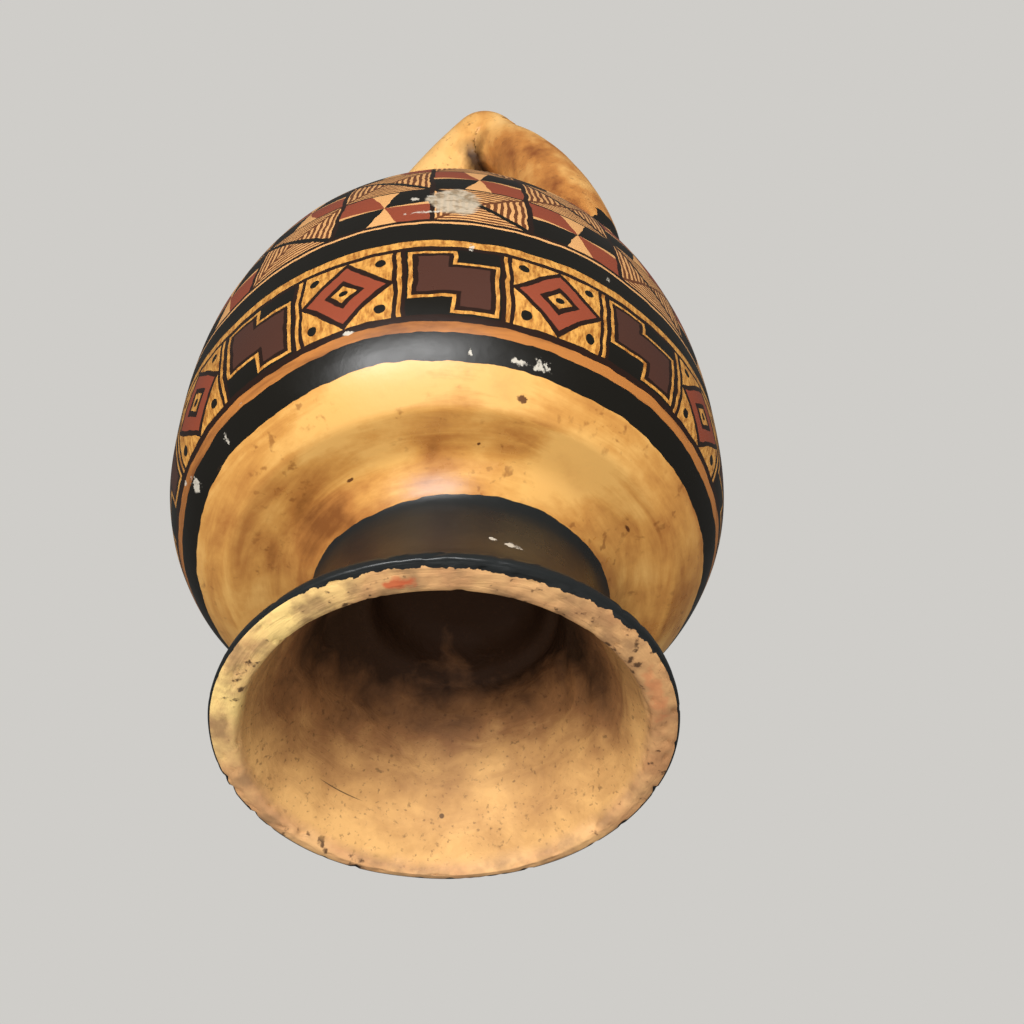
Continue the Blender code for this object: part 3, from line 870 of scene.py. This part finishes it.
chips = spots(tree, sheet, (
    (-127.6, 27.7, 1.3, 2.0), (-131.0, 31.0, 1.3, 0.6), (-113.0, 27.0, 0.6, 1.2), (-106.5, 30.7, 0.6, 0.6),
    (-79.4, 33.2, 1.5, 0.4), (-55.9, 27.0, 0.5, 0.9), (-40.9, 26.6, 1.8, 1.2), (-46.0, 26.2, 2.2, 0.6),
    (-56.0, 55.5, 0.5, 1.0), (-67.6, 78.0, 0.8, 0.9), (-64.3, 79.0, 1.2, 0.5), (-65.5, 70.5, 2.8, 0.6),
    (-27.6, 58.8, 0.8, 0.8), (-38.2, -14.2, 4.2, 0.8), (-43.4, -13.4, 2.0, 0.5),
))
chips = add(tree, "MULTIPLY_ADD", ragged, 5.0, chips)
chips = add(tree, RANGE, chips, 0.45, 0.85, 0.8, 0.0)
colour = painted_over(tree, colour, chips, CHIP_WHITE)
tree.links.new(colour, surface.inputs["Base Color"])
tree.links.new(add(tree, RANGE, cloudy, 0.35, 0.65, 0.26, 0.40).outputs[0], surface.inputs["Roughness"])
surface.inputs["IOR"].default_value = 1.48
grain = add(tree, NOISE, spot, Scale=patch(GRIT_MM), Detail=3.0)
grain = add(tree, "MULTIPLY_ADD", chips, -1.5, grain)
bump = add(tree, "ShaderNodeBump", Height=grain, Strength=0.18, Distance=0.0002)
tree.links.new(bump.outputs[0], surface.inputs["Normal"])


# Bare fired clay of the foot
# The hollow of the foot and its rim were left unpainted: tan clay wiped with the fingers, with painted shade
# that darkens it up into the recess and on one side of the wall, and pitted on the rim where the vessel
# stood. The rim carries painted light, paler and yellower on one side.
LIP_TAN = "#d9a971"
LIP_YELLOW = "#f4d184"
LIP_PINK = "#c08a5e"
LIP_GREY = "#96724e"
LIP_DARK = "#3a2414"
LIP_RED = "#c04a26"
LIP_BROWN = "#a06c42"
YELLOW_SIDE = -122.0
KNOCKED_SIDE = 15.0
SMUDGE_MM = 16.667
CRUMB_MM = 2.0833
SPECK_MM = 0.9091
MOTTLE_MM = 6.6667
SOIL_MM = 41.667
HOLLOW_STOPS = ((0.08, "#2c1a0e"), (0.30, "#5d3c22"), (0.55, "#8d6038"), (0.80, "#b98a52"), (1.0, "#d6a565"))
tree = bare.node_tree
surface = tree.nodes["Principled BSDF"]
spot = add(tree, "ShaderNodeTexCoord").outputs["Object"]
xyz = add(tree, "ShaderNodeSeparateXYZ", spot)
turn = add(tree, "MULTIPLY", add(tree, "ARCTAN2", xyz.outputs["Y"], xyz.outputs["X"]), 180.0 / math.pi)
rise_mm = add(tree, "DIVIDE", xyz.outputs["Z"], MM)
around = add(tree, "ShaderNodeCombineXYZ", xyz.outputs["X"], xyz.outputs["Y"], 0.0)
radius_mm = add(tree, VECTOR, around, operation="LENGTH")
radius_mm = add(tree, "DIVIDE", radius_mm.outputs["Value"], MM)
around = add(tree, VECTOR, around, operation="NORMALIZE")
sheet = add(tree, "ShaderNodeCombineXYZ", turn, rise_mm, 0.0)
rim_sheet = add(tree, "ShaderNodeCombineXYZ", turn, radius_mm, 0.0)
cloudy = add(tree, NOISE, spot, Scale=patch(SMUDGE_MM), Detail=6.0, Roughness=0.62)
wiped = add(tree, "MULTIPLY_ADD", radius_mm, 0.25, add(tree, "MULTIPLY", rise_mm, 0.3))
wiped = add(tree, "ShaderNodeCombineXYZ", 0.0, 0.0, wiped)
wiped = add(tree, VECTOR, around, (1.7, 1.7, 0.0), wiped, operation="MULTIPLY_ADD")
wiped = add(tree, NOISE, wiped, Scale=1.6, Detail=4.0, Roughness=0.6, Distortion=0.8)
crumbs = add(tree, NOISE, spot, Scale=patch(CRUMB_MM), Detail=3.0)
blotted = add(tree, "MULTIPLY_ADD", cloudy, 0.90, add(tree, "MULTIPLY_ADD", wiped, 0.45, 0.125))
# Painted shade: the hollow is painted darker the further up it goes, darkest in the recess.
depth = add(tree, RANGE, rise_mm, 2.0, 36.0, 0.16, -0.42)
depth = add(tree, "ADD", depth, add(tree, RANGE, rise_mm, 17.0, 29.0, 0.0, -0.20))
depth = add(tree, "ADD", depth, add(tree, RANGE, rise_mm, 29.0, 31.5, 0.0, -0.16))
# Painted shade: one side of the hollow's wall is painted darker, more so higher up.
across = add(tree, VECTOR, around, (-0.47, 0.88, 0.0), operation="DOT_PRODUCT").outputs["Value"]
painted_side_shade = add(tree, RANGE, across, 0.85, 0.1, 0.0, -0.32)
painted_side_shade = add(tree, "MULTIPLY", painted_side_shade, add(tree, RANGE, rise_mm, 3.0, 14.0, 0.2, 1.0))
depth = add(tree, "ADD", depth, painted_side_shade)
colour = shades(tree, add(tree, "ADD", blotted, depth), HOLLOW_STOPS)
specks = add(tree, NOISE, spot, Scale=patch(SPECK_MM), Detail=3.0)
colour = painted_over(tree, colour, add(tree, RANGE, specks, 0.60, 0.72, 0.0, 0.5), LIP_DARK)
hair = spots(tree, sheet, ((158.5, 9.6, 10.0, 0.12), (121.2, 9.4, 1.0, 0.5)))
colour = painted_over(tree, colour, add(tree, RANGE, hair, 0.7, 1.0, 0.8, 0.0), LIP_DARK)

# Painted light: the rim is painted paler and yellower on one side.
painted_light_side = add(tree, RANGE, degrees_from(tree, turn, YELLOW_SIDE), 20.0, 56.0, 0.9, 0.0)
lip = painted_over(tree, LIP_TAN, painted_light_side, LIP_YELLOW)
lip = painted_over(tree, lip, add(tree, RANGE, cloudy, 0.44, 0.58, 0.0, 0.7), LIP_PINK)
mottled = add(tree, NOISE, spot, Scale=patch(MOTTLE_MM), Detail=6.0)
lip = painted_over(tree, lip, add(tree, RANGE, mottled, 0.47, 0.62, 0.0, 0.75), LIP_GREY)
browned = add(tree, RANGE, degrees_from(tree, turn, KNOCKED_SIDE), 15.0, 60.0, 0.6, 0.0)
browned = add(tree, "MULTIPLY", browned, add(tree, RANGE, cloudy, 0.36, 0.56, 0.3, 1.0))
lip = painted_over(tree, lip, browned, LIP_BROWN)
daubs = spots(tree, rim_sheet, ((-71.5, 38.6, 4.5, 1.3), (13.0, 39.5, 9.0, 1.6)))
daubs = swayed(tree, daubs, crumbs, 2.6)
reddened = add(tree, RANGE, turn, -20.0, -50.0, 0.3, 0.8)
reddened = add(tree, "MULTIPLY", add(tree, RANGE, daubs, 0.5, 1.2, 1.0, 0.0), reddened)
lip = painted_over(tree, lip, reddened, LIP_RED)
soiled = add(tree, NOISE, spot, Scale=patch(SOIL_MM), Detail=2.0)
pitted_side = add(tree, RANGE, degrees_from(tree, turn, YELLOW_SIDE), 25.0, 56.0, 1.0, 0.2)
inner_edge = add(tree, "MULTIPLY", add(tree, RANGE, radius_mm, 40.5, 38.5, 0.0, 0.09), pitted_side)
specks = add(tree, "ADD", crumbs, add(tree, RANGE, soiled, 0.4, 0.65, -0.16, 0.02))
specks = add(tree, "ADD", specks, inner_edge)
knocked_side = add(tree, RANGE, degrees_from(tree, turn, KNOCKED_SIDE), 15.0, 55.0, 0.08, 0.0)
specks = add(tree, "ADD", specks, knocked_side)
lip = painted_over(tree, lip, add(tree, RANGE, specks, 0.60, 0.68, 0.0, 0.85), LIP_DARK)
on_lip = swayed(tree, rise_mm, cloudy, 3.0)
colour = painted_over(tree, colour, add(tree, RANGE, on_lip, 1.2, 3.2, 1.0, 0.0), lip)
outer = swayed(tree, swayed(tree, radius_mm, crumbs, 2.4), soiled, 3.0)
painted_from = add(tree, RANGE, degrees_from(tree, turn, -50.0), 10.0, 75.0, 41.1, 43.4)
colour = painted_over(tree, colour, add(tree, "GREATER_THAN", outer, painted_from), FOOT_BLACK)
tree.links.new(colour, surface.inputs["Base Color"])
surface.inputs["Roughness"].default_value = 0.68
surface.inputs["IOR"].default_value = 1.5
grain = add(tree, "MULTIPLY_ADD", crumbs, 0.8, add(tree, "MULTIPLY", wiped, 2.5))
bump = add(tree, "ShaderNodeBump", Height=grain, Strength=0.35, Distance=0.0004)
tree.links.new(bump.outputs[0], surface.inputs["Normal"])


# Cream slip of the stirrup
# The same cream slip, less rubbed, stained brown by what was poured. The near leg's broad face is painted
# browner, partly as stain and partly as painted shade. The legs stand in a ring of black slip, and the crease
# where they meet is painted dark, as packed dirt and as painted shade.
STIRRUP_STOPS = ((0.30, "#84491f"), (0.41, "#bb7b3a"), (0.49, "#d69f58"), (0.58, "#e2b16c"))
ROOT_RED = "#9c5540"
CRUMB_BROWN = "#6b3c1c"
CREASE_DIRT_AND_SHADE = "#2f1a0d"
BLOTCH_MM = 16.667
STIRRUP_CRUMB_MM = 1.6667
ROOT_EDGE_MM = 5.8824
ROOT_BLACK_LOW = 4.2
ROOT_BLACK_HIGH = 9.0
FACE_WAY = (0.32, -0.86, 0.40)
tree = cream.node_tree
surface = tree.nodes["Principled BSDF"]
spot = add(tree, "ShaderNodeTexCoord").outputs["Object"]
cleft = add(tree, "ShaderNodeAttribute", attribute_name="cleft").outputs["Fac"]
root = add(tree, "ShaderNodeAttribute", attribute_name="off_body").outputs["Fac"]
drawn_out = add(tree, VECTOR, spot, (0.8, 1.0, 0.36), operation="MULTIPLY")
stained = add(tree, NOISE, drawn_out, Scale=patch(BLOTCH_MM), Detail=5.0, Roughness=0.58)
xyz = add(tree, "ShaderNodeSeparateXYZ", spot)
near_leg = add(tree, RANGE, xyz.outputs["X"], 0.012, 0.020, 0.0, 1.0)
# Stain and painted shade: the near leg is painted browner where its face turns one way, away from the crease.
facing = add(tree, "ShaderNodeTexCoord").outputs["Normal"]
facing = add(tree, VECTOR, facing, FACE_WAY, operation="DOT_PRODUCT").outputs["Value"]
stain_and_shade_by_facing = add(tree, "MULTIPLY", near_leg, add(tree, RANGE, facing, 0.35, 0.75, -0.015, 0.05))
stain_and_shade_by_facing = add(tree, "MULTIPLY", stain_and_shade_by_facing, add(tree, RANGE, cleft, 4.5, 8.0, 0.0, 1.0))
colour = shades(tree, add(tree, "SUBTRACT", stained, stain_and_shade_by_facing), STIRRUP_STOPS)
crumbs = add(tree, NOISE, spot, Scale=patch(STIRRUP_CRUMB_MM), Detail=3.0)
colour = painted_over(tree, colour, add(tree, RANGE, crumbs, 0.62, 0.72, 0.0, 0.5), CRUMB_BROWN)
# Dirt and painted shade: the crease where the legs meet is painted dark.
swayed_cleft = swayed(tree, cleft, stained, 22.0)
crease_dirt_and_shade = add(tree, RANGE, xyz.outputs["Z"], 0.2255, 0.2315, 0.95, 0.05)
crease_dirt_and_shade = add(tree, "MULTIPLY", crease_dirt_and_shade, add(tree, RANGE, swayed_cleft, 2.6, 7.5, 1.0, 0.0))
colour = painted_over(tree, colour, crease_dirt_and_shade, CREASE_DIRT_AND_SHADE)
ragged = add(tree, NOISE, spot, Scale=patch(ROOT_EDGE_MM), Detail=3.0)
ragged = add(tree, "SUBTRACT", ragged, 0.5)
low_edge = add(tree, "MULTIPLY_ADD", ragged, 5.0, root)
colour = painted_over(tree, colour, add(tree, RANGE, low_edge, 4.6, 3.4, 0.0, 0.8), ROOT_RED)
high_edge = add(tree, "MULTIPLY_ADD", ragged, -4.0, root)
ring = add(tree, "GREATER_THAN", low_edge, ROOT_BLACK_LOW)
ring = add(tree, "MULTIPLY", ring, add(tree, "LESS_THAN", high_edge, ROOT_BLACK_HIGH))
outer_side = add(tree, "MULTIPLY_ADD", ragged, 0.003, add(tree, "ABSOLUTE", xyz.outputs["X"]))
ring = add(tree, "MULTIPLY", ring, add(tree, "GREATER_THAN", outer_side, 0.0443))
colour = painted_over(tree, colour, ring, BLACK)
tree.links.new(colour, surface.inputs["Base Color"])
surface.inputs["Roughness"].default_value = 0.42
surface.inputs["IOR"].default_value = 1.48
grain = add(tree, "MULTIPLY_ADD", stained, 3.0, crumbs)
bump = add(tree, "ShaderNodeBump", Height=grain, Strength=0.3, Distance=0.0003)
tree.links.new(bump.outputs[0], surface.inputs["Normal"])


# Unburnished inside
# Plain fired clay in the dark of the hollow, rough as the potter left it. Only the spout's mouth lets
# any light in, so it needs no more than a brown that clouds a little.
INSIDE_STOPS = ((0.35, "#3a2415"), (0.65, "#6d4728"))
INSIDE_CLOUD_MM = 11.111
tree = inside.node_tree
surface = tree.nodes["Principled BSDF"]
spot = add(tree, "ShaderNodeTexCoord").outputs["Object"]
cloudy = add(tree, NOISE, spot, Scale=patch(INSIDE_CLOUD_MM), Detail=4.0)
colour = shades(tree, cloudy, INSIDE_STOPS)
tree.links.new(colour, surface.inputs["Base Color"])
surface.inputs["Roughness"].default_value = 0.85


# Floor, light and room
# A matt pale floor, which glows a little to stay pale and is clear from below, where the camera stands.
# A soft light low in front stands for the photograph's ceiling light, as if the vessel lay on its side.
# A second one fills in from below, three stand above, and the room itself is pale.
FLOOR_PALE = "#dedbd4"
ROOM_PALE = "#cfcdc9"
ROOM_GLOW = 0.55
ROOM_GLOSS = 0.16
FLOOR_GLOW = 0.3
LAMP_AIM = Vector((0.0, 0.0, 0.08))
floor_mesh = bpy.data.meshes.new("floor")
floor_mesh.from_pydata([(-6, -6, 0), (6, -6, 0), (6, 6, 0), (-6, 6, 0)], [], [(0, 1, 2, 3)])
floor = bpy.data.objects.new("floor", floor_mesh)
floor.location.z = -0.0002
scene.collection.objects.link(floor)
floor_paint = bpy.data.materials.new("Matt pale floor paint")
floor_paint.use_nodes = True
tree = floor_paint.node_tree
surface = tree.nodes["Principled BSDF"]
surface.inputs["Base Color"].default_value = rgb(FLOOR_PALE)
surface.inputs["Emission Color"].default_value = rgb(FLOOR_PALE)
surface.inputs["Emission Strength"].default_value = FLOOR_GLOW
surface.inputs["Roughness"].default_value = 0.8
clear = add(tree, "ShaderNodeBsdfTransparent")
from_below = add(tree, "ShaderNodeNewGeometry").outputs["Backfacing"]
shown = add(tree, "ShaderNodeMixShader", from_below, surface, clear)
tree.links.new(shown.outputs[0], tree.nodes["Material Output"].inputs["Surface"])
floor_mesh.materials.append(floor_paint)
floor.visible_shadow = False
floor.visible_glossy = False
floor.visible_diffuse = False

world = bpy.data.worlds.new("pale room")
world.use_nodes = True
tree = world.node_tree
background = tree.nodes["Background"]
background.inputs["Color"].default_value = rgb(ROOM_PALE)
path = add(tree, "ShaderNodeLightPath")
glow = add(tree, RANGE, path.outputs["Is Glossy Ray"], 0.0, 1.0, ROOM_GLOW, ROOM_GLOSS)
glow = add(tree, "MAXIMUM", glow, path.outputs["Is Camera Ray"])
tree.links.new(glow.outputs[0], background.inputs["Strength"])
scene.world = world
for name, place_at, wide, tall, power in (
    ("ceiling_light", (0.29, -1.05, -0.30), 0.75, 0.34, 13.0),
    ("fill_below", (0.35, -0.80, -1.10), 1.0, 1.0, 13.0),
    ("top_front", (1.2, -0.9, 1.0), 0.9, 0.9, 10.0),
    ("back_left", (-1.4, 0.6, 0.75), 1.2, 1.2, 10.0),
    ("back_right", (0.9, 1.4, 0.75), 1.2, 1.2, 9.0),
):
    lamp = bpy.data.lights.new(name, "AREA")
    lamp.shape = "RECTANGLE"
    lamp.size = wide
    lamp.size_y = tall
    lamp.energy = power
    holder = bpy.data.objects.new(name, lamp)
    scene.collection.objects.link(holder)
    holder.visible_glossy = name == "ceiling_light"
    holder.location = place_at
    aim = LAMP_AIM - Vector(place_at)
    holder.rotation_euler = aim.to_track_quat("-Z", "Y").to_euler()
scene.view_settings.view_transform = "Standard"
